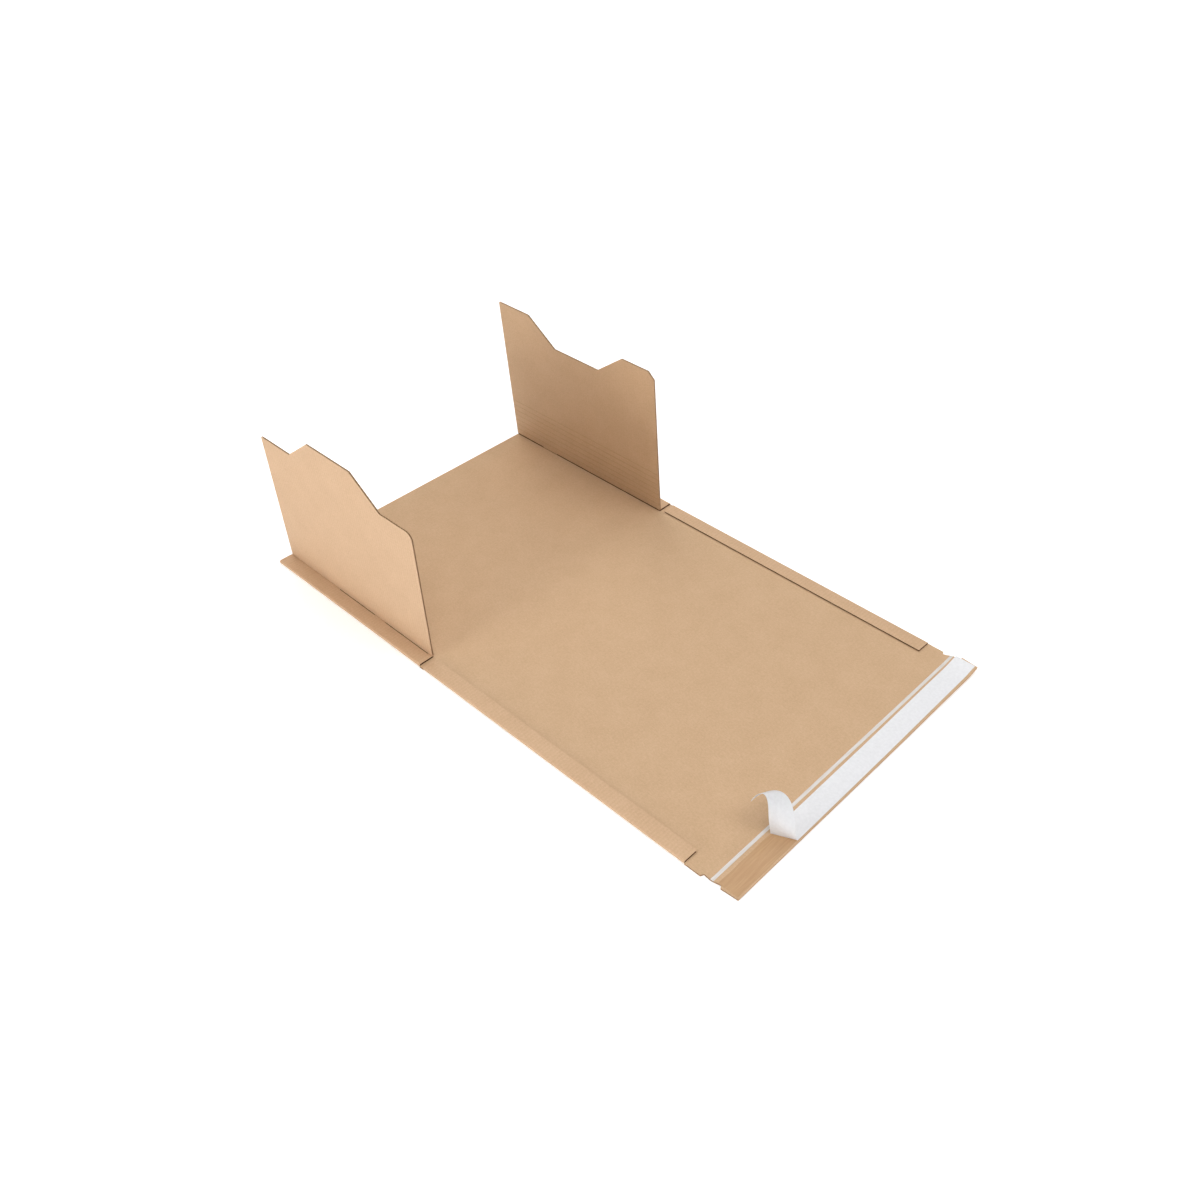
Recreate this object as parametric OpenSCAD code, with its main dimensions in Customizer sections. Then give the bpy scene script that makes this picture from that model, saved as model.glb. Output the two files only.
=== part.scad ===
// Book wrap: one die-cut sheet of fine corrugated board, opened flat.
// A base with two glued edge strips carries an upright flap at each side.
// A long cover is creased to the base, and ends in a tear strip and a
// self-adhesive closing flap whose release liner is partly peeled.
// X runs along the wrap, Y across it, and Z up from the surface it lies on.

/* [Sheet] */
// Width of the wrap, across its folded edges
sheet_w = 332; // [260:1:420]
// Length of the base, from its back edge to the cover's crease
base_len = 213; // [195:1:300]
// Length of the cover, from its crease to the free end
cover_len = 353; // [330:1:480]
// Thickness of the corrugated board
board_t = 1.5; // [1:0.1:2.5]

/* [Edge strips] */
// Width of the strips folded over along both edges
strip_w = 15; // [10:0.5:22]
// Height of the slot left inside each fold
fold_slot = 0.3; // [0.2:0.05:0.6]
// From the crease back to the end of the base's strips
base_strip_setback = 2; // [1:0.25:6]
// From the crease to the start of the cover's strips
cover_strip_setback = 2.5; // [2:0.25:6]
// From the end of the cover's strips to the free end
cover_strip_end = 49.5; // [42:0.5:70]

/* [Side flaps] */
// Height of a side flap at its raised parts
flap_high = 163.5; // [140:0.5:170]
// Gap between the two flaps when both lie flat on the base
flap_meeting_gap = 1.4; // [0.8:0.1:4]
// From the back edge to the first slope of the flaps' wavy edge
slope_1_start = 42.5; // [30:0.5:55]
// From the back edge to the second slope
slope_2_start = 136; // [105:0.5:145]
// Length of each slope, along the wrap
slope_run = 34; // [20:0.5:40]
// Corner cut at the front of each flap
flap_corner = 7; // [3:0.5:10]
// Angle by which the left flap leans outwards
left_lean = 2.5; // [0:0.5:6]
// Angle by which the right flap leans inwards
right_lean = 5.5; // [0:0.5:8]
// Clearance between each flap and the strip that it hinges on
hinge_gap = 0.15; // [0.1:0.05:0.3]

/* [Score lines] */
// Distance from one score line to the next
score_pitch = 6.35; // [5:0.05:9]
// Number of score lines on a flap
score_count = 7; // [3:1:9]
// Width of a pressed score line
score_w = 1.4; // [0.8:0.1:2]
// Depth of a pressed score line
score_depth = 0.25; // [0.1:0.05:0.4]

/* [Closing end] */
// From the free end to the adhesive's outer edge
end_margin = 1.7; // [1:0.1:5]
// Width of the adhesive band and its liner
liner_w = 19; // [14:0.5:24]
// Bare board between the adhesive band and the tear strip
tear_gap = 2.6; // [1:0.1:4]
// Width of the tear strip
tear_w = 2.8; // [2:0.1:6]
// Depth of the notches beside the tear strip's ends
notch_depth = 2.9; // [1.5:0.1:4]
// Length of each notch from the tear strip's edge
notch_run = 7.6; // [4:0.1:9]
// Taper of the closing flap on each side, up to its free end
end_taper = 1.5; // [0.5:0.1:4]
// Thickness of the tear strip's film
tear_t = 0.12; // [0.05:0.01:0.3]
// Thickness of the adhesive band
adhesive_t = 0.1; // [0.05:0.01:0.3]
// Thickness of the release liner
liner_t = 0.12; // [0.08:0.01:0.3]
// Angle by which the band lies out of square
band_skew = 0.25; // [0:0.05:0.5]
// Length of liner that is peeled from its left end
peeled_len = 67; // [60:1:110]

/* [Hidden] */

kraft = "#cba57d";
film_white = "#ece8e4";
glue_clear = "#c59a6b";
liner_white = "#ebebed";

// Places along the wrap, measured from the middle of the sheet
total_len = base_len + cover_len;
back_x = -total_len / 2;
front_x = total_len / 2;
crease_x = back_x + base_len;
base_strip_end_x = crease_x - base_strip_setback;
cover_strip_start_x = crease_x + cover_strip_setback;
cover_strip_end_x = front_x - cover_strip_end;
// Half of the clearance between base and cover along their crease
crease_gap = 0.1;

// Places across the wrap and up from the surface that it lies on
side_y = sheet_w / 2;
hinge_y = side_y - strip_w;
under_strip_y = side_y - strip_w / 2;
strip_top_z = 2 * board_t + fold_slot;
hinge_z = strip_top_z + hinge_gap;
fold_r = strip_top_z / 2;

// The flaps' wavy edges are the two sides of one cut, so the low parts
// of each flap leave room for the raised parts of the other
flap_low = 2 * hinge_y - flap_meeting_gap - flap_high;
flap_len = base_strip_end_x - back_x;
slope_1_end = slope_1_start + slope_run;
slope_2_end = slope_2_start + slope_run;
flap_bottom = hinge_gap;

// Places of the closing end
band_mid_x = front_x - end_margin - liner_w / 2;
tear_mid_x = front_x - end_margin - liner_w - tear_gap - tear_w / 2;
notch_y = side_y - notch_depth;
// Share of the notches' depth by which the tear strip's ends stand out between them
tear_tab_share = 0.35;
tear_tab_y = notch_y + tear_tab_share * notch_depth;
notch_lip = 1.3;
closing_flap_inset = 0.3;
closing_flap_y = side_y - closing_flap_inset;
end_y = side_y - end_taper;
band_end_margin = 1;
band_y = end_y - band_end_margin;
liner_z = board_t + adhesive_t;
peel_y = peeled_len - band_y;

// The two edges of the peeled liner, as curves that start where it leaves
// the band. Each point is [towards the base, across, up], from the middle
// of the fold line, which crosses the band at a slant
curl_steps = 32;
fold_slant = 4.4;
inner_edge_curl = [
    [liner_w / 2, -fold_slant, 0], [11, -5, 11], [12, -9, 20],
    [13, -6, 33], [16, 0, 46], [26, -5, 37], [26, -11, 29]
];
outer_edge_curl = [
    [-liner_w / 2, fold_slant, 0], [-8, -1, 8], [-6, 2, 18],
    [-1, 14, 32], [16, 20, 36], [26, 10, 25], [31, 3, 18]
];

// The folded board seen from its end: two layers joined by a round fold
module folded_strip_section() {
    difference() {
        union() {
            translate([fold_r, fold_r]) circle(r = fold_r, $fn = 48);
            translate([fold_r, 0]) square([strip_w - fold_r, strip_top_z]);
        }
        translate([fold_r, fold_r]) circle(d = fold_slot, $fn = 24);
        translate([fold_r, board_t]) square([strip_w, fold_slot]);
    }
}

// One edge strip with the sheet under it, on the left side of the wrap
module edge_strip(from_x, to_x) {
    translate([from_x, -side_y, 0])
        rotate([90, 0, 90]) linear_extrude(to_x - from_x) folded_strip_section();
}

module both_edge_strips(from_x, to_x) {
    edge_strip(from_x, to_x);
    mirror([0, 1, 0]) edge_strip(from_x, to_x);
}

// The other half of an outline, on the left side
function mirrored(points) = [for (i = [len(points) - 1:-1:0]) [points[i][0], -points[i][1]]];

// A flat sheet whose outline is the same on both sides
module flat_sheet(right_side) {
    linear_extrude(board_t) polygon(concat(right_side, mirrored(right_side)));
}

module base_panel() {
    color(kraft) union() {
        flat_sheet([
            [back_x, under_strip_y],
            [base_strip_end_x, under_strip_y],
            [base_strip_end_x, side_y],
            [crease_x - crease_gap, side_y]
        ]);
        both_edge_strips(back_x, base_strip_end_x);
    }
}

module cover_panel() {
    color(kraft) union() {
        flat_sheet([
            [crease_x + crease_gap, side_y],
            [cover_strip_start_x, side_y],
            [cover_strip_start_x, under_strip_y],
            [cover_strip_end_x, under_strip_y],
            [cover_strip_end_x, side_y],
            [tear_mid_x - tear_w / 2 - notch_run, side_y],
            [tear_mid_x - tear_w / 2 - notch_run + notch_lip, notch_y],
            [tear_mid_x - tear_w / 2, tear_tab_y],
            [tear_mid_x + tear_w / 2, tear_tab_y],
            [tear_mid_x + tear_w / 2 + notch_run - notch_lip, notch_y],
            [tear_mid_x + tear_w / 2 + notch_run, closing_flap_y],
            [front_x, end_y]
        ]);
        both_edge_strips(cover_strip_start_x, cover_strip_end_x);
    }
}

// Outline of the flap whose middle is raised, x along the wrap, y up
module left_flap_outline() {
    polygon([
        [0, flap_bottom],
        [0, flap_low],
        [slope_1_start, flap_low],
        [slope_1_end, flap_high],
        [slope_2_start, flap_high],
        [slope_2_end, flap_low],
        [flap_len - flap_corner, flap_low],
        for (a = [75:-15:0])
            [flap_len - flap_corner * (1 - cos(a)), flap_low - flap_corner * (1 - sin(a))],
        [flap_len, flap_bottom]
    ]);
}

// Outline of the flap whose middle is low
module right_flap_outline() {
    polygon([
        [0, flap_bottom],
        [0, flap_high],
        [slope_1_start, flap_high],
        [slope_1_end, flap_low],
        [slope_2_start, flap_low],
        [slope_2_end, flap_high],
        [flap_len - flap_corner, flap_high],
        [flap_len, flap_high - flap_corner],
        [flap_len, flap_bottom]
    ]);
}

// Score lines pressed into the inner face, which is the face at y = board_t
module score_lines() {
    for (i = [1:score_count])
        translate([0, board_t, i * score_pitch])
            rotate([90, 0, 90])
                linear_extrude(flap_len)
                    polygon([
                        [1, -score_w / 2 * (1 + 1 / score_depth)],
                        [1, score_w / 2 * (1 + 1 / score_depth)],
                        [-score_depth, 0]
                    ]);
}

// A flap standing on the hinge line of the left side, before it leans
module upright_flap() {
    difference() {
        rotate([90, 0, 0]) translate([0, 0, -board_t]) linear_extrude(board_t) children();
        score_lines();
    }
}

module left_side_flap() {
    color(kraft)
        translate([back_x, -hinge_y, hinge_z])
            rotate([left_lean, 0, 0]) upright_flap() left_flap_outline();
}

module right_side_flap() {
    color(kraft)
        mirror([0, 1, 0])
            translate([back_x, -hinge_y, hinge_z])
                rotate([-right_lean, 0, 0]) upright_flap() right_flap_outline();
}

module tear_strip() {
    color(film_white)
        translate([tear_mid_x - tear_w / 2, -tear_tab_y, board_t])
            cube([tear_w, 2 * tear_tab_y, tear_t]);
}

// The band and its liner lie slightly out of square with the sheet
module on_band() {
    translate([band_mid_x, 0, 0]) rotate([0, 0, band_skew]) children();
}

module adhesive_band() {
    color(glue_clear)
        on_band() translate([-liner_w / 2, -band_y, board_t])
            cube([liner_w, 2 * band_y, adhesive_t]);
}

// A point at share t of a smooth curve that the given points draw out
function curve_point(points, t) =
    len(points) == 1 ? points[0] :
    curve_point([for (i = [0:len(points) - 2]) points[i] * (1 - t) + points[i + 1] * t], t);

// A point of the curl in the band's own frame
function curl_place(p) = [-p[0], peel_y + p[1], liner_z + liner_t / 2 + p[2]];

// The sheet's two edges and its normal at share t of the peeled length
function curl_inner(t) = curl_place(curve_point(inner_edge_curl, t));
function curl_outer(t) = curl_place(curve_point(outer_edge_curl, t));
function curl_normal(t) =
    let (
        step = 0.01,
        along = curl_inner(t + step) - curl_inner(t - step)
            + curl_outer(t + step) - curl_outer(t - step),
        n = cross(along, curl_outer(t) - curl_inner(t))
    ) n / norm(n);

// Four corners of the sheet's section between two points of its edges
function liner_ring(inner, outer, normal) =
    let (half = normal * liner_t / 2)
    [inner - half, outer - half, outer + half, inner + half];

function flat_ring(inner_y, outer_y) =
    let (z = liner_z + liner_t / 2)
    liner_ring([-liner_w / 2, inner_y, z], [liner_w / 2, outer_y, z], [0, 0, 1]);

// The liner from its right end, along the band, and round its curl. Both
// faces are split along the same diagonals, so that the thin sheet stays whole
module release_liner() {
    rings = [
        flat_ring(end_y, end_y),
        flat_ring(peel_y - fold_slant, peel_y + fold_slant),
        for (i = [1:curl_steps])
            let (t = i / curl_steps) liner_ring(curl_inner(t), curl_outer(t), curl_normal(t))
    ];
    last = 4 * (len(rings) - 1);
    color(liner_white) on_band() polyhedron(
        points = [for (ring = rings) for (p = ring) p],
        faces = concat(
            [[0, 1, 2, 3]],
            [for (i = [0:len(rings) - 2]) for (j = [0:3])
                let (k = (j + 1) % 4, a = 4 * i + j, b = 4 * i + k)
                each j < 2
                    ? [[a, a + 4, b + 4], [a, b + 4, b]]
                    : [[a, a + 4, b], [b, a + 4, b + 4]]],
            [[last + 3, last + 2, last + 1, last]]
        )
    );
}

base_panel();
left_side_flap();
right_side_flap();
cover_panel();
tear_strip();
adhesive_band();
release_liner();
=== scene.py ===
# %% [markdown]
# # A book wrap, opened flat
# The object is one die-cut sheet of fine corrugated board. Its base lies flat, with a
# side flap standing on a crease at each side. A long cover runs on from the base and
# ends in a tear strip and a sticky closing flap, whose release liner is partly peeled.
#
# The solids from the CAD model give the outer sizes. This script dresses them:
# corrugated board is a sandwich of two liners and a wave of paper between them, so each
# board is built from those three papers, which shows at every cut edge.

# %% Load the frame
import math

import bmesh
import bpy
from mathutils import Matrix, Vector


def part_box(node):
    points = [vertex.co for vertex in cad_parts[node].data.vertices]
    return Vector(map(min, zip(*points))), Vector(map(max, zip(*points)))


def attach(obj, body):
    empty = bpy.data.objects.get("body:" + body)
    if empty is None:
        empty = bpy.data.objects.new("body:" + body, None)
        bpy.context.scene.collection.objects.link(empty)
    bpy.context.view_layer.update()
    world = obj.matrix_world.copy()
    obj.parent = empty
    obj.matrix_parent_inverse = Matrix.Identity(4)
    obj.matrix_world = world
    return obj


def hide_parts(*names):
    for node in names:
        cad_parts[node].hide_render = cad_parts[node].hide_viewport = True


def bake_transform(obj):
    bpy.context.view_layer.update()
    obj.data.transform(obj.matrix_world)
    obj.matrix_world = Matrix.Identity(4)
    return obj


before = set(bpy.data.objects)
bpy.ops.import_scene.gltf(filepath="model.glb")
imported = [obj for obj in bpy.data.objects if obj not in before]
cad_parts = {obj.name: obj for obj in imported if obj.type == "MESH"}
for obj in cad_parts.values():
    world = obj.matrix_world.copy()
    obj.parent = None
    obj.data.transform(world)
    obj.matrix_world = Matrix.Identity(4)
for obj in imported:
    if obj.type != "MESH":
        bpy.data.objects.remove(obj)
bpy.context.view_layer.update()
print("solids:", sorted(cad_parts))

# %% [markdown]
# ## Sizes
# Blender works in metres and the maker of a box in millimetres, so sizes are written
# in millimetres and turned once. Where a solid's box already holds a size, it is read
# from there, so that the dressed piece can't drift away from it. Sizes inside the
# outline, such as those of the notches, repeat the values of the CAD model.

# %% Sizes of the sheet
MM = 0.001
TINY = 0.01 * MM

base_low, base_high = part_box("base_panel")
_, cover_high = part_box("cover_panel")
BACK_X = base_low.x
FRONT_X = cover_high.x
SIDE_Y = base_high.y
STRIP_TOP = base_high.z

BOARD = 1.5 * MM
LINER = 0.2 * MM
MEDIUM = 0.18 * MM
FLUTE_PITCH = 3.2 * MM
STRIP_W = 15 * MM
HINGE_Y = SIDE_Y - STRIP_W
FOLD_Z = STRIP_TOP / 2
FOLD_Y = SIDE_Y - FOLD_Z
CREASE_BACK_X = -72 * MM
CREASE_FRONT_X = -67.5 * MM
STRIPS_END_X = 233.5 * MM
print("sheet", round((FRONT_X - BACK_X) / MM), "by", round(2 * SIDE_Y / MM), "mm")

# %% [markdown]
# ## Helpers for paper
# Every paper starts as a plane of its own size. The helpers below pick edges by their
# place, cut new lines across a sheet, and give a bent sheet its thickness. Operators
# act on whatever is selected, so each helper starts by clearing the selection.

# %% Start a sheet
def to_object_mode():
    if bpy.context.mode != "OBJECT":
        bpy.ops.object.mode_set(mode="OBJECT")


def activate(piece):
    to_object_mode()
    bpy.ops.object.select_all(action="DESELECT")
    piece.select_set(True)
    bpy.context.view_layer.objects.active = piece


def flat_sheet(name, x0, x1, y0, y1, z):
    """A plane with corners at x0, y0 and x1, y1, lying at height z."""
    to_object_mode()
    bpy.ops.object.select_all(action="DESELECT")
    middle = ((x0 + x1) / 2, (y0 + y1) / 2, z)
    bpy.ops.mesh.primitive_plane_add(size=1, location=middle)
    sheet = bpy.context.object
    sheet.name = sheet.data.name = name
    sheet.scale = (abs(x1 - x0), abs(y1 - y0), 1)
    bpy.ops.object.transform_apply(location=True, rotation=True, scale=True)
    return sheet


# %% Pick, cut and move
def pick_edges(sheet, test):
    """In edit mode, selects the edges whose two ends both pass the test."""
    bpy.ops.mesh.select_mode(type="EDGE")
    bpy.ops.mesh.select_all(action="DESELECT")
    shape = bmesh.from_edit_mesh(sheet.data)
    for edge in shape.edges:
        if all(test(v.co) for v in edge.verts):
            edge.select_set(True)
    bmesh.update_edit_mesh(sheet.data)


def cut_lines(sheet, axis, places, clear_outer=False, clear_inner=False):
    """Cuts the sheet across an axis at each place, as a bisect over all of it."""
    activate(sheet)
    bpy.ops.object.mode_set(mode="EDIT")
    normal = [0, 0, 0]
    normal[axis] = 1
    for place in places:
        bpy.ops.mesh.select_all(action="SELECT")
        point = [0, 0, 0]
        point[axis] = place
        bpy.ops.mesh.bisect(
            plane_co=point, plane_no=normal, clear_outer=clear_outer, clear_inner=clear_inner
        )
    to_object_mode()


def move_points(sheet, move):
    """Gives each point of the sheet its new place."""
    for v in sheet.data.vertices:
        v.co = move(v.co.copy())
    sheet.data.update()


# %% Give a sheet its thickness
def face_up(sheet):
    """Turns all faces the same way, so that the largest level one looks up."""
    bpy.ops.object.mode_set(mode="EDIT")
    bpy.ops.mesh.select_all(action="SELECT")
    bpy.ops.mesh.normals_make_consistent(inside=False)
    shape = bmesh.from_edit_mesh(sheet.data)
    level = max(shape.faces, key=lambda f: f.calc_area() * abs(f.normal.z))
    if level.normal.z < 0:
        bpy.ops.mesh.flip_normals()
    to_object_mode()


def thicken(sheet, thickness, side):
    """Solidify towards side: 1 is upwards on the flat part, -1 downwards, 0 both ways."""
    activate(sheet)
    face_up(sheet)
    solid = sheet.modifiers.new("paper", "SOLIDIFY")
    solid.thickness = thickness
    solid.offset = side
    solid.use_even_offset = True
    bpy.ops.object.modifier_apply(modifier=solid.name)
    bpy.ops.object.mode_set(mode="EDIT")
    bpy.ops.mesh.select_all(action="SELECT")
    bpy.ops.mesh.normals_make_consistent(inside=False)
    to_object_mode()


def join_as(name, papers, smooth_below=30):
    """Joins the papers of one board, and smooths creases below that many degrees."""
    activate(papers[0])
    for paper in papers:
        paper.select_set(True)
    bpy.ops.object.join()
    board = bpy.context.object
    board.name = board.data.name = name
    activate(board)
    bpy.ops.object.shade_smooth_by_angle(angle=math.radians(smooth_below))
    print(name, len(board.data.polygons), "faces")
    return board


# %% [markdown]
# ## Colours and nodes
# Colours are sRGB hex values. They were tuned until the render's mean tones came near
# those of the photo, so they hold for the lights used here. Shaders work in linear
# light, so one function turns them. Others add a node with its settings and links, and
# feed a shader's colour and relief from one noise.

# %% Colour and node helpers
def linear(hex_colour):
    """An sRGB hex colour as the linear RGBA that a shader wants."""
    parts = [int(hex_colour[i:i + 2], 16) / 255 for i in (1, 3, 5)]
    turned = [c / 12.92 if c <= 0.04045 else ((c + 0.055) / 1.055) ** 2.4 for c in parts]
    return (*turned, 1)


def add_node(material, kind, settings=None, **inputs):
    """Adds a node. An input is a value, or the output socket that feeds it."""
    tree = material.node_tree
    node = tree.nodes.new(kind)
    for name, value in (settings or {}).items():
        setattr(node, name, value)
    for name, value in inputs.items():
        socket = node.inputs[int(name[1:]) if name[0] == "_" else name.replace("_", " ")]
        if isinstance(value, bpy.types.NodeSocket):
            tree.links.new(value, socket)
        else:
            socket.default_value = value
    return node


def new_material(name, **inputs):
    """A material with one Principled shader, and its Object coordinates."""
    material = bpy.data.materials.new(name)
    material.use_nodes = True
    material.node_tree.nodes.clear()
    shader = add_node(material, "ShaderNodeBsdfPrincipled", **inputs)
    add_node(material, "ShaderNodeOutputMaterial", Surface=shader.outputs["BSDF"])
    place = add_node(material, "ShaderNodeTexCoord").outputs["Object"]
    return material, shader, place


def feed(material, output, socket):
    material.node_tree.links.new(output, socket)


def two_tone(material, shader, vector, grain_mm, ramp, relief, **noise):
    """Feeds a shader's colour and relief from one noise with grains of that size."""
    pattern = add_node(material, "ShaderNodeTexNoise", Vector=vector,
                       Scale=1 / (grain_mm * MM), **noise)
    tone = add_node(material, "ShaderNodeValToRGB", Fac=pattern.outputs["Fac"])
    for i, (position, hex_colour) in enumerate(ramp):
        tone.color_ramp.elements[i].position = position
        tone.color_ramp.elements[i].color = linear(hex_colour)
    feed(material, tone.outputs["Color"], shader.inputs["Base Color"])
    strength, depth_mm = relief
    bump = add_node(material, "ShaderNodeBump", Height=pattern.outputs["Fac"],
                    Strength=strength, Distance=depth_mm * MM)
    feed(material, bump.outputs[0], shader.inputs["Normal"])


# %% [markdown]
# ## Kraft linerboard
# The faces of the board are brown kraft paper, unbleached softwood pulp pressed on a
# drying cylinder. It is matt and very even, with a fine grain of light and dark fibres.
# Its outer face was pulled over the flutes while it was wet, so it dips between their
# crests. That washboard is a bump relief, and its dips are also painted darker as shade,
# which shows as fine stripes on the outer face, and hardly inside.

# %% Kraft linerboard
def kraft_paper(name, dark, mid, light, washboard_mm=0.01, dip_shade=0.02):
    paper, shader, place = new_material(
        name, Roughness=0.72, Specular_IOR_Level=0.3, Sheen_Weight=0.06, Sheen_Roughness=0.5
    )

    # Soft clouds in the pulp, about 25 mm across
    clouds = add_node(paper, "ShaderNodeTexNoise", Vector=place,
                      Scale=1 / (25 * MM), Detail=3, Roughness=0.5)
    # Fibres are 1 to 3 mm long and 0.03 mm wide, drawn 0.9 mm wide so that they show
    fibre_place = add_node(paper, "ShaderNodeMapping", Vector=place, Scale=(0.5, 1, 1))
    fibres = add_node(paper, "ShaderNodeTexNoise", Vector=fibre_place.outputs[0],
                      Scale=1 / (0.9 * MM), Detail=2, Roughness=0.7)
    # One shallow wave for each flute along X. The texture turns 20 radians per scale
    wave = add_node(paper, "ShaderNodeTexWave", {"bands_direction": "X"}, Vector=place,
                    Scale=math.tau / FLUTE_PITCH / 20, Distortion=0)
    cloudy = add_node(paper, "ShaderNodeMath", {"operation": "MULTIPLY_ADD"},
                      _0=clouds.outputs["Fac"], _1=0.2, _2=0.1)
    grainy = add_node(paper, "ShaderNodeMath", {"operation": "MULTIPLY_ADD"},
                      _0=fibres.outputs["Fac"], _1=0.6, _2=cloudy.outputs[0])
    # The wave also paints the dips between the flutes darker and the crests lighter, as
    # painted shade
    dip_shaded = add_node(paper, "ShaderNodeMath", {"operation": "MULTIPLY_ADD"},
                       _0=wave.outputs["Fac"], _1=dip_shade, _2=grainy.outputs[0])
    tone = add_node(paper, "ShaderNodeValToRGB", Fac=dip_shaded.outputs[0])
    tone.color_ramp.elements[0].position = 0.3 + dip_shade / 2
    tone.color_ramp.elements[0].color = linear(dark)
    tone.color_ramp.elements[1].position = 0.7 + dip_shade / 2
    tone.color_ramp.elements[1].color = linear(light)
    tone.color_ramp.elements.new(0.5 + dip_shade / 2).color = linear(mid)
    feed(paper, tone.outputs["Color"], shader.inputs["Base Color"])

    washboard = add_node(paper, "ShaderNodeBump", Height=wave.outputs["Fac"],
                         Strength=0.6, Distance=washboard_mm * MM)
    grain = add_node(paper, "ShaderNodeBump", Height=fibres.outputs["Fac"],
                     Strength=0.4, Distance=0.04 * MM, Normal=washboard.outputs[0])
    feed(paper, grain.outputs[0], shader.inputs["Normal"])
    return paper


kraft_inside = kraft_paper("kraft_linerboard_inside", "#c2a07c", "#cdab87", "#d6b592")
kraft_outside = kraft_paper("kraft_linerboard_outside", "#c4a17e", "#cfac89", "#d8b694",
                            washboard_mm=0.04, dip_shade=0.08)
print("made", kraft_inside.name, "and", kraft_outside.name)

# %% [markdown]
# ## Fluting paper
# The wave inside the board is recycled pulp, thinner and greyer than the liners. It
# shows only at cut edges, where little light reaches it.

# %% Fluting paper
fluting_paper = kraft_paper("recycled_fluting", "#937049", "#a27f59", "#b08d67")
print("made", fluting_paper.name)

# %% [markdown]
# ## Painted shade under the strips and in the score lines
# Two places of the board are painted darker as shade, and both are guesses made for the
# look. The photo has a dark line wherever one looks into a slit, and plain hollows came
# out too pale. So the paper under the edge strips is painted dark brown, as painted
# shade. The deeper half of each score line is painted a shade darker, as painted shade.

# %% Painted shade under the strips and in the score lines
# Dark brown kraft, painted into the hollows under the strips as shade
painted_shade_kraft = kraft_paper("painted_shade_under_strips", "#4a2c14", "#583618", "#66401f")
# Kraft a shade darker, painted into the deeper half of the score lines as shade
score_shade_kraft = kraft_paper("painted_score_line_shade", "#b7946e", "#c09d78", "#c9a681")
print("made", painted_shade_kraft.name, "and", score_shade_kraft.name)


def paint_faces(sheet, material, test):
    """Gives the faces whose centre passes the test a second material."""
    sheet.data.materials.append(material)
    for face in sheet.data.polygons:
        if test(face.center):
            face.material_index = len(sheet.data.materials) - 1


# %% [markdown]
# ## One flute, many flutes
# The wave of paper is modelled once, as a plane one flute long that is cut into
# short steps and lifted onto a wave. An Array modifier repeats it along the board, and
# the ends are cut off where the board ends. The wave runs on through all boards from
# the back edge, because on the real object they are one sheet.

# %% Fluting
FLUTE_STEPS = 8
FLUTE_RISE = (BOARD - 2 * LINER - MEDIUM) / 2


def fluting(name, x0, x1, y0, y1, mid_z=BOARD / 2):
    first = math.floor((x0 - BACK_X + TINY) / FLUTE_PITCH)
    last = math.ceil((x1 - BACK_X - TINY) / FLUTE_PITCH)
    start = BACK_X + first * FLUTE_PITCH
    wave = flat_sheet(name, start, start + FLUTE_PITCH, y0, y1, 0)
    steps = [start + i * FLUTE_PITCH / FLUTE_STEPS for i in range(1, FLUTE_STEPS)]
    cut_lines(wave, 0, steps)
    move_points(wave, lambda p: Vector((
        p.x, p.y, mid_z + FLUTE_RISE * math.cos(math.tau * (p.x - start) / FLUTE_PITCH)
    )))
    activate(wave)
    repeat = wave.modifiers.new("flutes", "ARRAY")
    repeat.count = last - first
    repeat.use_merge_vertices = True
    repeat.merge_threshold = TINY
    bpy.ops.object.modifier_apply(modifier=repeat.name)
    cut_lines(wave, 0, [x0], clear_inner=True)
    cut_lines(wave, 0, [x1], clear_outer=True)
    wave.data.materials.append(fluting_paper)
    return wave


# %% [markdown]
# ## Folded edge strips
# Along both sides the sheet is folded over by half a turn and glued down. A spin about
# the fold's axis turns the side edge of each liner over, and one extrusion runs it
# back as the strip. Where the die cut the board, the wave and the strip's lower liner
# are set back by a guessed amount, so that the upper liner overhangs a dark hollow.
# That shadow draws the strips' ends sharply, as in the photo.

# %% Fold a side edge over
FOLD_STEPS = 8
CRUSHED = 1.3 * MM
HOLLOW = 3 * MM


def fold_over(sheet, side, to_x, strip_y):
    activate(sheet)
    bpy.ops.object.mode_set(mode="EDIT")
    edge_y = side * FOLD_Y
    pick_edges(sheet, lambda p: abs(p.y - edge_y) < TINY and p.x < to_x + TINY)
    bpy.ops.mesh.spin(
        steps=FOLD_STEPS, angle=-side * math.pi, center=(0, edge_y, FOLD_Z), axis=(1, 0, 0)
    )
    bpy.ops.mesh.extrude_region_move(
        TRANSFORM_OT_translate={"value": (0, side * (strip_y - FOLD_Y), 0)}
    )
    to_object_mode()


def folded_liner(name, x0, x1, fold_to_x, z, strip_y, paper):
    """A liner lying at height z, with a strip folded over at each side up to strip_y."""
    sheet = flat_sheet(name, x0, x1, -FOLD_Y, FOLD_Y, z)
    if fold_to_x < x1:
        cut_lines(sheet, 0, [fold_to_x])
    for side in (-1, 1):
        fold_over(sheet, side, fold_to_x, strip_y)
    sheet.data.materials.append(paper)
    return sheet


def paint_shade_under_strips(sheet, from_y, to_x):
    """Paints the inner liner dark brown where the strips cover it, as painted shade."""
    cut_lines(sheet, 1, [-from_y, from_y])
    paint_faces(sheet, painted_shade_kraft, lambda c: abs(c.y) > from_y and c.x < to_x)


def crush_strip_ends(sheet, x0, x1):
    """Draws the ends of the strip's lower liner back from the cut."""
    def back(p):
        if p.z > FOLD_Z and abs(p.y) < FOLD_Y + TINY:
            p.x = min(max(p.x, x0 + HOLLOW), x1 - HOLLOW)
        return p
    move_points(sheet, back)


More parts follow.
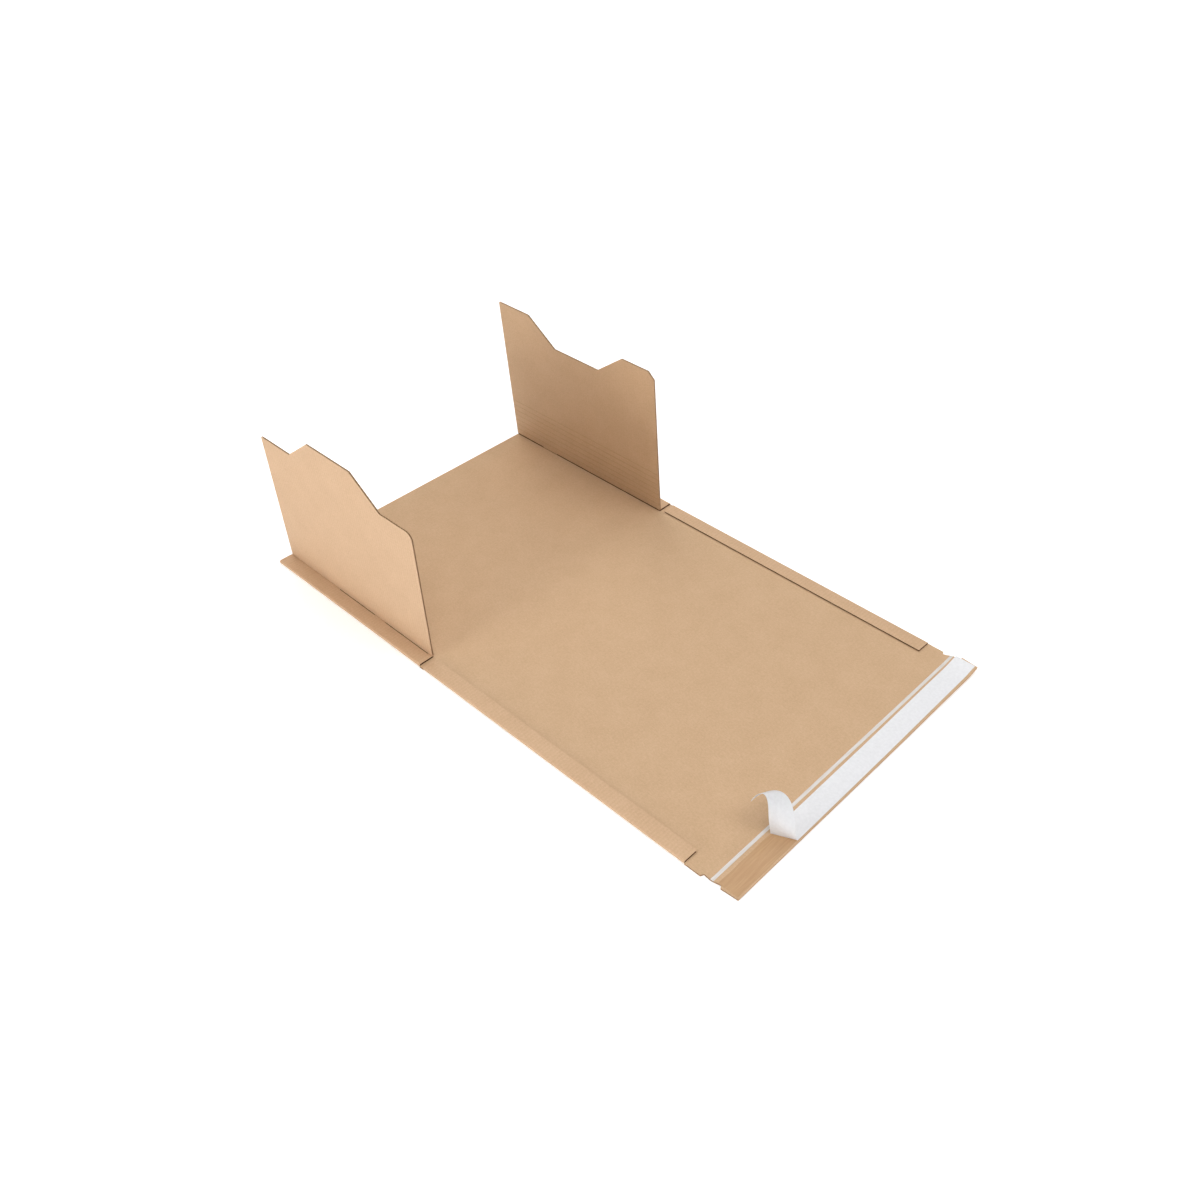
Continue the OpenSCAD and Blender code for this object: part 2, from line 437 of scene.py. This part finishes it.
def strip_flutings(name, x0, x1, strip_y):
    """The wave inside the two strips of a board."""
    waves = []
    for side in (-1, 1):
        near, far = sorted((side * strip_y, side * FOLD_Y))
        wave = fluting(name, x0 + HOLLOW, x1 - HOLLOW, near, far, STRIP_TOP - BOARD / 2)
        thicken(wave, MEDIUM, 0)
        waves.append(wave)
    return waves


# %% [markdown]
# ## Base board
# The outer liner runs under the base, round both folds and over the strips. The inner
# liner is the floor of the wrap and lines the folds inside. The strip's outer liner
# stops short of the hinge, where the crease piece takes over, and the papers under it
# stop further back still: the crease is cut through them.

# %% Base board
CREASE_REACH = 1.6 * MM
CUT_BACK = 2.6 * MM
UNDER_FLAP = 1.3 * MM

outer = folded_liner("base_outer_liner", BACK_X, CREASE_BACK_X, CREASE_BACK_X, 0,
                     HINGE_Y + CREASE_REACH, kraft_outside)
thicken(outer, LINER, 1)
inner = folded_liner("base_inner_liner", BACK_X, CREASE_BACK_X, CREASE_BACK_X, BOARD,
                     HINGE_Y + CUT_BACK, kraft_inside)
# The inner liner under the strips is painted dark, as painted shade in the hollows
paint_shade_under_strips(inner, HINGE_Y - UNDER_FLAP, CREASE_BACK_X)
crush_strip_ends(inner, BACK_X, CREASE_BACK_X)
thicken(inner, LINER, -1)
wave = fluting("base_fluting", BACK_X + CRUSHED, CREASE_BACK_X, -FOLD_Y, FOLD_Y)
thicken(wave, MEDIUM, 0)
waves = strip_flutings("base_strip_fluting", BACK_X, CREASE_BACK_X, HINGE_Y + CUT_BACK)
base_board = join_as("base_board", [outer, inner, wave, *waves])
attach(base_board, "base")
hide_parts("base_panel")

# %% [markdown]
# ## Cover board
# The cover is built as the base is, but its strips end before the closing flap. Past
# them the sheet is flat, with a small notch beside each end of the tear strip and a
# slight taper to the free end. The outline is drawn as places along X, each with its
# half width, and the sheet's side points are moved onto it.

# %% Outline of the closing end
END_MARGIN = 1.7 * MM
BAND_W = 19 * MM
TEAR_GAP = 2.6 * MM
TEAR_W = 2.8 * MM
TEAR_MID_X = FRONT_X - END_MARGIN - BAND_W - TEAR_GAP - TEAR_W / 2
NOTCH_RUN = 7.6 * MM
NOTCH_LIP = 1.3 * MM
NOTCH_DEPTH = 2.9 * MM
NOTCH_Y = SIDE_Y - NOTCH_DEPTH
TAB_SHARE = 0.35
TAB_Y = NOTCH_Y + TAB_SHARE * NOTCH_DEPTH
SLIVER = 0.1 * MM
TAPER = 1.5 * MM
FIRST_TAPER = 0.3 * MM
END_Y = SIDE_Y - TAPER

notch_start = TEAR_MID_X - TEAR_W / 2 - NOTCH_RUN
notch_end = TEAR_MID_X + TEAR_W / 2 + NOTCH_RUN
closing_outline = [
    (STRIPS_END_X + SLIVER, SIDE_Y),
    (notch_start, SIDE_Y),
    (notch_start + NOTCH_LIP, NOTCH_Y),
    (TEAR_MID_X - TEAR_W / 2, TAB_Y),
    (TEAR_MID_X + TEAR_W / 2, TAB_Y),
    (notch_end - NOTCH_LIP, NOTCH_Y),
    (notch_end, SIDE_Y - FIRST_TAPER),
    (FRONT_X, END_Y),
]


def along(outline, x):
    """The outline's value at x, on straight lines between its points."""
    for (xa, a), (xb, b) in zip(outline, outline[1:]):
        if xa - TINY <= x <= xb + TINY:
            return a + (b - a) * min(1, max(0, (x - xa) / (xb - xa)))
    raise ValueError("x is outside the outline")


def on_closing_outline(p):
    if p.x > STRIPS_END_X + SLIVER - TINY and abs(abs(p.y) - FOLD_Y) < TINY:
        p.y = math.copysign(along(closing_outline, p.x), p.y)
    return p


# %% [markdown]
# ## A corner that won't lie flat
# In the photo the closing flap looks bent a little along its tear strip. Its right
# corner is drawn some 3 to 4 mm off the table, which is judged from the photo and not
# well known. Everything on the closing end is bent by the same small function, so that
# board, tape, glue and liner stay together.

# %% Bend of the closing flap
SIDE_SHIFT = 1.1 * MM
EDGE_LIFT = 1.4 * MM
EDGE_RISE = (20 * MM, 145 * MM)
CORNER_LIFT = 2.3 * MM
CORNER_RISE = (146 * MM, 166 * MM)
BENDS = 8


def smooth(value, start, end):
    t = min(1, max(0, (value - start) / (end - start)))
    return t * t * (3 - 2 * t)


def lift(y):
    return EDGE_LIFT * smooth(y, *EDGE_RISE) + CORNER_LIFT * smooth(y, *CORNER_RISE)


def closing_bend(p):
    past_tape = smooth(p.x, notch_start, notch_end)
    p.z += past_tape * lift(p.y)
    p.y += past_tape * SIDE_SHIFT
    return p


BEND_LINES = [y * MM for y in (20, 50, 80, 105, 125, 140, 147, 152, 157, 161)]
BEND_STEPS = [notch_start + (notch_end - notch_start) * i / BENDS for i in range(1, BENDS)]

# %% Cover board
HEM_HOLLOW = 1.5 * MM
# How far out from the hinge the painted shade under the cover's strips starts
SHADE_INSET = 0.8 * MM
LINERS = (("outer", 0, 1, kraft_outside), ("inner", BOARD, -1, kraft_inside))


def hollow_hem(p):
    """Draws the strip's lower liner back under the upper one, along the strip."""
    if p.z > FOLD_Z and abs(p.y) < HINGE_Y + TINY:
        p.y += math.copysign(HEM_HOLLOW, p.y)
    return p


papers = []
for name, z, side_of_paper, paper in LINERS:
    sheet = folded_liner(f"cover_{name}_liner", CREASE_FRONT_X, FRONT_X, STRIPS_END_X, z,
                         HINGE_Y, paper)
    cut_lines(sheet, 0, [x for x, _ in closing_outline[:-1]] + BEND_STEPS)
    cut_lines(sheet, 1, BEND_LINES)
    if name == "inner":
        # The inner liner under the strips is painted dark, as painted shade in the hollows
        paint_shade_under_strips(sheet, HINGE_Y + SHADE_INSET, STRIPS_END_X)
        move_points(sheet, hollow_hem)
        crush_strip_ends(sheet, CREASE_FRONT_X, STRIPS_END_X)
    move_points(sheet, on_closing_outline)
    move_points(sheet, closing_bend)
    thicken(sheet, LINER, side_of_paper)
    papers.append(sheet)
wave = fluting("cover_fluting", CREASE_FRONT_X, FRONT_X - CRUSHED, -FOLD_Y, FOLD_Y)
move_points(wave, on_closing_outline)
cut_lines(wave, 1, BEND_LINES)
move_points(wave, closing_bend)
thicken(wave, MEDIUM, 0)
waves = strip_flutings("cover_strip_fluting", CREASE_FRONT_X, STRIPS_END_X,
                       HINGE_Y + HEM_HOLLOW)
cover_board = join_as("cover_board", papers + [wave, *waves])
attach(cover_board, "cover")
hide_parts("cover_panel")

# %% [markdown]
# ## Crease between base and cover
# Base and cover are one sheet, and the board only bends along a pressed line between
# the ends of the edge strips. That short stretch is its own piece, drawn flat between
# the base and the cover.

# %% Crease between base and cover
CREASE_STEPS = 10
CREASE_RUN = CREASE_FRONT_X - CREASE_BACK_X

papers = []
steps = [CREASE_BACK_X + CREASE_RUN * i / CREASE_STEPS for i in range(1, CREASE_STEPS)]
for name, z, side_of_paper, paper in LINERS:
    sheet = flat_sheet(f"crease_{name}", CREASE_BACK_X, CREASE_FRONT_X, -SIDE_Y, SIDE_Y, z)
    cut_lines(sheet, 0, steps)
    sheet.data.materials.append(paper)
    thicken(sheet, LINER, side_of_paper)
    papers.append(sheet)
wave = fluting("crease_fluting", CREASE_BACK_X, CREASE_FRONT_X, -SIDE_Y, SIDE_Y)
thicken(wave, MEDIUM, 0)
cover_crease = join_as("cover_crease", papers + [wave])
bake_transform(cover_crease)

# %% [markdown]
# ## Side flaps
# Each flap is drawn flat, as it lies on the die-cut sheet, and then turned up on its
# crease. The wavy edge is one cut that parts the two flaps, so one is high where the
# other is low. Pressed score lines cross the inner liner near the crease, so that the
# flap can bend round thicker books. They are real grooves in the liner. Seven are
# drawn, as in the CAD model, though the photo may show more and finer ones.

# %% Outlines of the flaps
FLAP_LEN = CREASE_BACK_X - BACK_X
HIGH = 163.5 * MM
FLAPS_APART = 1.4 * MM
LOW = 2 * HINGE_Y - FLAPS_APART - HIGH
FLAP_FOOT = -0.5 * MM
CORNER = 7 * MM
HINGE_ABOVE_STRIP = 0.15 * MM
HINGE_Z = STRIP_TOP + HINGE_ABOVE_STRIP
SLOPES = [42.5 * MM, 76.5 * MM, 136 * MM, 170 * MM]

round_corner = [
    (FLAP_LEN - CORNER * (1 - math.cos(a)), LOW - CORNER * (1 - math.sin(a)))
    for a in [math.radians(d) for d in (90, 75, 60, 45, 30, 15, 4)]
]
left_outline = [(0, LOW), (SLOPES[0], LOW), (SLOPES[1], HIGH), (SLOPES[2], HIGH),
                (SLOPES[3], LOW), *round_corner, (FLAP_LEN, LOW - CORNER)]
right_outline = [(0, HIGH), (SLOPES[0], HIGH), (SLOPES[1], LOW), (SLOPES[2], LOW),
                 (SLOPES[3], HIGH), (FLAP_LEN - CORNER, HIGH), (FLAP_LEN, HIGH - CORNER)]

# %% Score lines
SCORES = 7
SCORE_PITCH = 6.35 * MM
SCORE_W = 1.4 * MM
SCORE_DEPTH = 0.25 * MM
score_steps = [-0.5, -0.25, 0, 0.25, 0.5]
score_rows = [(i * SCORE_PITCH + s * SCORE_W, SCORE_DEPTH * math.cos(math.pi * s) ** 2)
              for i in range(1, SCORES + 1) for s in score_steps]


def press_scores(p):
    for row, depth in score_rows:
        if abs(abs(p.y) - row) < TINY:
            p.z -= depth
    return p


def in_score(p):
    """Whether a face's centre lies in the deeper half of a score line."""
    rows_away = abs(p.y) / SCORE_PITCH
    off_line = abs(rows_away - round(rows_away)) * SCORE_PITCH
    return 0.5 < rows_away < SCORES + 0.5 and off_line < SCORE_W / 4


# %% Make a flap
def flap_board(name, side, outline, turn):
    """A flap lying out to its side from the hinge line, then turned up by turn degrees."""
    def trimmed(p):
        if abs(p.y) > HIGH - TINY:
            p.y = side * along(outline, p.x)
        return p

    near, far = sorted((side * FLAP_FOOT, side * HIGH))
    stations = [x for x, _ in outline[1:-1]]
    outer_near, outer_far = sorted((side * CREASE_REACH, side * HIGH))
    outer = flat_sheet(f"{name}_outer_liner", 0, FLAP_LEN, outer_near, outer_far, 0)
    inner = flat_sheet(f"{name}_inner_liner", 0, FLAP_LEN, near, far, BOARD)
    cut_lines(inner, 1, [side * row for row, _ in score_rows])
    for sheet, side_of_paper, paper in ((outer, 1, kraft_outside), (inner, -1, kraft_inside)):
        cut_lines(sheet, 0, stations)
        move_points(sheet, trimmed)
        if sheet is inner:
            move_points(sheet, press_scores)
        sheet.data.materials.append(paper)
        if sheet is inner:
            # The deeper half of each score line is painted darker, as painted shade in the
            # groove
            paint_faces(inner, score_shade_kraft, in_score)
        thicken(sheet, LINER, side_of_paper)
    wave = fluting(f"{name}_fluting", BACK_X + HOLLOW, BACK_X + FLAP_LEN - HOLLOW, near, far)
    move_points(wave, lambda p: trimmed(p - Vector((BACK_X, 0, 0))))
    thicken(wave, MEDIUM, 0)
    flap = join_as(name, [outer, inner, wave], smooth_below=12)
    flap.rotation_euler.x = side * math.radians(turn)
    flap.location = (BACK_X, side * HINGE_Y, HINGE_Z)
    bpy.ops.object.transform_apply(location=True, rotation=True, scale=True)
    return flap


LEFT_TURN = 90 - 2.5
RIGHT_TURN = 90 + 5.5
left_flap = flap_board("left_flap_board", -1, left_outline, LEFT_TURN)
right_flap = flap_board("right_flap_board", 1, right_outline, RIGHT_TURN)
for flap, body, node in ((left_flap, "left_flap", "left_side_flap"),
                         (right_flap, "right_flap", "right_side_flap")):
    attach(flap, body)
    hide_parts(node)

# %% [markdown]
# ## Flap creases
# The flaps' creases are cut through the inner liner and the wave, with one short
# bridge left uncut, and bend on the outer liner alone. The crease piece is that strip
# of outer liner. It runs from the edge strip's top down into the pressed crease and up
# the flap's outer face, with the bridge of inner liner under it. It is drawn as a path
# across the crease and extruded along that path, one step at a time. Two slits stand
# for darker stretches of the left crease in the photo. Whether those are cuts or only
# pressed deeper can't be seen, and the right crease has the slits by symmetry alone.

# %% Flap creases
BRIDGE = (BACK_X + 41 * MM, BACK_X + 61 * MM)
GROOVE = 0.45 * MM
SLITS = [(BACK_X + 77 * MM, BACK_X + 130 * MM), (BACK_X + 145 * MM, BACK_X + 205 * MM)]


def strip_along_path(name, path, x0, x1, paper):
    """A strip from x0 to x1 whose cross-section follows the path."""
    near = path[0]
    strip = flat_sheet(name, x0, x1, near.y, near.y + TINY, near.z)
    activate(strip)
    bpy.ops.object.mode_set(mode="EDIT")
    pick_edges(strip, lambda p: abs(p.y - near.y) < TINY / 2)
    for a, b in zip(path, path[1:]):
        bpy.ops.mesh.extrude_region_move(TRANSFORM_OT_translate={"value": tuple(b - a)})
    bpy.ops.mesh.select_all(action="SELECT")
    bpy.ops.mesh.remove_doubles(threshold=2 * TINY)
    to_object_mode()
    strip.data.materials.append(paper)
    return strip


def flap_crease(name, side, turn):
    lean = math.radians(turn)
    hinge = Vector((0, side * HINGE_Y, HINGE_Z))

    def beside(out, up):
        """A point at height up above the strip's top, out from the hinge."""
        return Vector((0, side * (HINGE_Y + out * MM), STRIP_TOP + up * MM))

    def on_flap(out, up):
        """A point at height up above the flap's drawing plane, out from its hinge."""
        return hinge + Vector((0, side * (out * math.cos(lean) - up * math.sin(lean)),
                               out * math.sin(lean) + up * math.cos(lean)))

    bottom = -GROOVE / MM
    skin = [beside(CREASE_REACH / MM, 0), beside(1, 0), beside(0.75, bottom),
            beside(0.2, bottom), on_flap(0.1 * MM, 0), on_flap(0.8 * MM, 0),
            on_flap(CREASE_REACH, 0)]
    floor_up = (BOARD + 0.3 * MM - STRIP_TOP) / MM
    bridge = [beside(0.6, floor_up), beside(-0.4, floor_up), beside(-1.1, floor_up + 0.15),
              beside(-1.5, floor_up + 0.5), on_flap(FLAP_FOOT + 0.3 * MM, BOARD + TINY),
              on_flap(FLAP_FOOT + 1.2 * MM, BOARD + TINY)]
    outside = strip_along_path(f"{name}_skin", skin, BACK_X, CREASE_BACK_X, kraft_outside)
    inside = strip_along_path(f"{name}_bridge", bridge, *BRIDGE, kraft_inside)

    # The slits: faces at the bottom of the crease are left out along them
    cut_lines(outside, 0, [x for slit in SLITS for x in slit])
    bpy.ops.object.mode_set(mode="EDIT")
    bpy.ops.mesh.select_mode(type="FACE")
    bpy.ops.mesh.select_all(action="DESELECT")
    shape = bmesh.from_edit_mesh(outside.data)
    for face in shape.faces:
        middle = face.calc_center_median()
        slit = any(x0 < middle.x < x1 for x0, x1 in SLITS)
        face.select_set(slit and middle.z < STRIP_TOP - GROOVE + TINY)
    bmesh.update_edit_mesh(outside.data)
    bpy.ops.mesh.delete(type="FACE")
    to_object_mode()
    for strip in (outside, inside):
        thicken(strip, LINER, -1)
    crease = join_as(name, [outside, inside])
    start = Vector((BACK_X, side * (HINGE_Y + CREASE_REACH), STRIP_TOP))
    end = on_flap(CREASE_REACH, 0) + Vector((BACK_X, 0, 0))
    return crease, start, end


for name, side, turn, body in (("left_flap_crease", -1, LEFT_TURN, "left_flap"),
                               ("right_flap_crease", 1, RIGHT_TURN, "right_flap")):
    crease, start, end = flap_crease(name, side, turn)
    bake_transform(crease)

# %% [markdown]
# ## Closing end
# The tear strip is a thin milky film tape. The adhesive is a clear hot melt, wiped on
# the kraft liner in the direction of the band, so it shows the brown paper through a
# glossy, finely streaked skin. The release liner is white paper with a silicone face,
# stiff enough to stand in a curl where it is peeled.

# %% Tear film
tear_film, film_shader, film_place = new_material("milky_tear_film", Roughness=0.35, IOR=1.5)
film_strands = add_node(tear_film, "ShaderNodeMapping", Vector=film_place, Scale=(1, 0.05, 1))
two_tone(tear_film, film_shader, film_strands.outputs[0], grain_mm=0.6, Detail=2,
         ramp=((0.3, "#d4ccc5"), (0.7, "#e6e2df")), relief=(0.3, 0.05))
print("made", tear_film.name)

# %% Hot melt adhesive
# The wiped streaks are some 20 mm long and a millimetre wide
glue, glue_shader, glue_place = new_material(
    "clear_hot_melt_on_kraft", Roughness=0.4, Coat_Weight=0.5, Coat_Roughness=0.2
)
glue_streaks = add_node(glue, "ShaderNodeMapping", Vector=glue_place, Scale=(1, 0.06, 1))
two_tone(glue, glue_shader, glue_streaks.outputs[0], grain_mm=1.3, Detail=3, Roughness=0.65,
         ramp=((0.3, "#ba9065"), (0.75, "#c8a176")), relief=(0.5, 0.08))
print("made", glue.name)

# %% Silicone release paper
release, release_shader, release_place = new_material("silicone_release_paper", Roughness=0.5)
two_tone(release, release_shader, release_place, grain_mm=2.5, Detail=4,
         ramp=((0.3, "#e6e6e8"), (0.7, "#ededef")), relief=(0.2, 0.04))
print("made", release.name)

# %% [markdown]
# ## Tear tape and adhesive
# Both lie on the closing flap and bend with it, so they are sheets of their own, cut
# across where the flap bends. The adhesive's edges were never masked and wander a
# little. The band was laid a quarter of a degree out of square, as in the CAD model.

# %% Tear tape and adhesive
BAND_MID_X = FRONT_X - END_MARGIN - BAND_W / 2
BAND_Y = END_Y - 1 * MM
SKEW = math.radians(0.25)
TEAR_T = 0.12 * MM
GLUE_T = 0.1 * MM
WIPED_STEPS = 160


def skewed(p):
    """Turns a point of the band, drawn about the origin, and puts it in its place."""
    return Vector((BAND_MID_X + p.x * math.cos(SKEW) - p.y * math.sin(SKEW),
                   p.x * math.sin(SKEW) + p.y * math.cos(SKEW), p.z))


def wander(p):
    """Moves the band's long edges in and out by a few tenths of a millimetre."""
    edge = p.x / (BAND_W / 2)
    y = p.y / MM
    inwards = 0.25 + 0.15 * math.sin(y / 9 + edge) + 0.1 * math.sin(y / 3.7 + 2 * edge)
    p.x -= edge * inwards * MM
    return p


tape = flat_sheet("tear_tape", TEAR_MID_X - TEAR_W / 2, TEAR_MID_X + TEAR_W / 2,
                  -TAB_Y, TAB_Y, BOARD)
cut_lines(tape, 0, BEND_STEPS)
cut_lines(tape, 1, BEND_LINES)
move_points(tape, closing_bend)
tape.data.materials.append(tear_film)
thicken(tape, TEAR_T, 1)
tape = join_as("tear_tape", [tape])
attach(tape, "cover")
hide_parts("tear_strip")

wiped = flat_sheet("wiped_adhesive", -BAND_W / 2, BAND_W / 2, -BAND_Y, BAND_Y, BOARD)
cut_lines(wiped, 1, [BAND_Y * (2 * i / WIPED_STEPS - 1) for i in range(1, WIPED_STEPS)])
for move in (wander, skewed, closing_bend):
    move_points(wiped, move)
wiped.data.materials.append(glue)
thicken(wiped, GLUE_T, 1)
wiped = join_as("wiped_adhesive", [wiped])
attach(wiped, "cover")
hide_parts("adhesive_band")

# %% [markdown]
# ## Release liner
# The liner lies on the band from the right end, leaves it on a slanting fold line and
# rises in a curl. Its two edges are smooth curves drawn by a few control points, the
# same as in the CAD model, and the paper is a grid stretched between them.

# %% Release liner
PEEL_Y = 67 * MM - BAND_Y
LINER_Z = BOARD + GLUE_T
LINER_T = 0.12 * MM
LINER_SHORT = 0.4 * MM
FOLD_SLANT = 4.4
half_w = BAND_W / MM / 2
inner_edge = [(half_w, -FOLD_SLANT, 0), (11, -5, 11), (12, -9, 20),
              (13, -6, 33), (16, 0, 46), (26, -5, 37), (26, -11, 29)]
outer_edge = [(-half_w, FOLD_SLANT, 0), (-8, -1, 8), (-6, 2, 18),
              (-1, 14, 32), (16, 20, 36), (26, 10, 25), (31, 3, 18)]


def curve_point(points, t):
    """A point on the smooth curve that the control points draw out."""
    points = [Vector(p) for p in points]
    while len(points) > 1:
        points = [a.lerp(b, t) for a, b in zip(points, points[1:])]
    return points[0] * MM


def liner_point(along_liner, across):
    """along_liner: 0 at the right end, 1 at the fold, 2 at the tail. across: 0 to 1."""
    if along_liner <= 1:
        fold_y = PEEL_Y - (0.5 - across) * 2 * FOLD_SLANT * MM
        right_end = END_Y - LINER_SHORT
        p = Vector((-(0.5 - across) * BAND_W,
                    right_end + (fold_y - right_end) * along_liner, 0))
    else:
        t = along_liner - 1
        edge = curve_point(inner_edge, t).lerp(curve_point(outer_edge, t), across)
        p = Vector((-edge.x, PEEL_Y + edge.y, edge.z))
    p = skewed(p)
    p.z += LINER_Z + LINER_T / 2 + lift(p.y)
    p.y += SIDE_SHIFT
    return p


FLAT_STEPS = 40
CURL_STEPS = 60
ACROSS = 8
to_object_mode()
bpy.ops.object.select_all(action="DESELECT")
bpy.ops.mesh.primitive_grid_add(
    x_subdivisions=FLAT_STEPS + CURL_STEPS, y_subdivisions=ACROSS, size=2
)
liner = bpy.context.object
liner.name = liner.data.name = "release_paper"


def place_on_liner(p):
    step = (p.x + 1) / 2 * (FLAT_STEPS + CURL_STEPS)
    share = step / FLAT_STEPS if step <= FLAT_STEPS else 1 + (step - FLAT_STEPS) / CURL_STEPS
    return liner_point(share, (p.y + 1) / 2)


move_points(liner, place_on_liner)
liner.data.materials.append(release)
thicken(liner, LINER_T, 0)
liner = join_as("release_paper", [liner])
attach(liner, "cover")
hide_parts("release_liner")

# %% [markdown]
# ## Floor, light and camera
# The wrap lies on a white sweep in a light studio. A very large soft light hangs above
# it, with a smaller one over the closing end and a key light behind the camera. Others
# stand behind the wrap, at its right and at its left, where one is low over the table.
# The floor is white and bright, so it also throws light up onto the outer face of the
# left flap. The strengths were found one light at a time: the object was rendered with
# each light alone, and because light adds up, their shares were fitted together to the
# photo's tones, and then rounded and changed. The camera was fitted to the
# wrap's corners in the photo.

# %% Floor
WHITE = (1, 1, 1, 1)
FLOOR_GAP = 0.2 * MM

bpy.ops.object.select_all(action="DESELECT")
bpy.ops.mesh.primitive_plane_add(size=12, location=(0, 0, -FLOOR_GAP))
floor = bpy.context.object
floor.name = "floor"
floor_paper, floor_shader, floor_place = new_material(
    "white_studio_paper", Roughness=0.9, Base_Color=(0.93, 0.93, 0.93, 1), Emission_Color=WHITE
)
away = add_node(floor_paper, "ShaderNodeVectorMath", {"operation": "LENGTH"}, _0=floor_place)
# The sweep glows more from 0.8 m outwards, so that it stays white in every view
glow = add_node(floor_paper, "ShaderNodeMapRange", Value=away.outputs["Value"],
                From_Min=0.8, From_Max=2.2, To_Min=0.3, To_Max=1.0)
feed(floor_paper, glow.outputs["Result"], floor_shader.inputs["Emission Strength"])
floor.data.materials.append(floor_paper)

# %% Backdrop
bpy.ops.object.select_all(action="DESELECT")
bpy.ops.mesh.primitive_uv_sphere_add(segments=48, ring_count=24, radius=5.5)
backdrop = bpy.context.object
backdrop.name = backdrop.data.name = "backdrop"
bpy.ops.object.shade_smooth()
backdrop_paper, _, _ = new_material(
    "white_backdrop", Roughness=1, Base_Color=(0, 0, 0, 1), Emission_Color=WHITE,
    Emission_Strength=1
)
backdrop.data.materials.append(backdrop_paper)
# Only the camera sees the backdrop, so it neither lights the wrap nor shades it
backdrop.visible_diffuse = False
backdrop.visible_glossy = False
backdrop.visible_transmission = False
backdrop.visible_shadow = False

# %% Light
world = bpy.data.worlds.new("white_studio")
world.use_nodes = True
world.node_tree.nodes["Background"].inputs["Color"].default_value = WHITE
world.node_tree.nodes["Background"].inputs["Strength"].default_value = 0.02
bpy.context.scene.world = world


def softbox(name, place, target, size, power):
    light = bpy.data.lights.new(name, "AREA")
    light.size = size
    light.energy = power
    holder = bpy.data.objects.new(name, light)
    bpy.context.scene.collection.objects.link(holder)
    holder.location = place
    beam = Vector(target) - Vector(place)
    holder.rotation_euler = beam.to_track_quat("-Z", "Y").to_euler()


softbox("ceiling_softbox", (0, 0, 2.4), (0, 0, 0), 4.5, 36)
softbox("overhead_softbox", (1.2, 0.3, 2.2), (0, 0, 0), 1.6, 17.5)
softbox("key_softbox", (1.3, -1.1, 2.2), (0, 0, 0), 1.0, 14.5)
softbox("back_softbox", (-1.6, 0.6, 2.0), (0, 0, 0), 1.4, 17)
softbox("right_softbox", (0, 1.8, 1.8), (0, 0, 0), 1.0, 6)
softbox("side_softbox", (-0.3, -2.0, 0.95), (0, 0, 0.05), 1.2, 11)
softbox("low_softbox", (-0.2, -2.2, 0.25), (0, 0, 0.05), 0.5, 10)
bpy.context.scene.view_settings.view_transform = "Standard"

# %% Camera
SENSOR_MM = 36
FOCAL_PX = 1199.3
PHOTO_PX = 1200

camera_data = bpy.data.cameras.new("camera")
camera = bpy.data.objects.new("camera", camera_data)
bpy.context.scene.collection.objects.link(camera)
camera_data.sensor_width = SENSOR_MM
camera_data.lens = FOCAL_PX / PHOTO_PX * SENSOR_MM
camera_data.clip_start = 0.05
camera.location = (0.5714, -0.6025, 0.7262)
right = Vector((0.72042, 0.69352, -0.00391))
down = Vector((0.44810, -0.46977, -0.76061))
forward = Vector((-0.52934, 0.54621, -0.64920))
turn = Matrix((right, -down, -forward)).transposed()
camera.rotation_euler = turn.to_euler()
bpy.context.scene.camera = camera
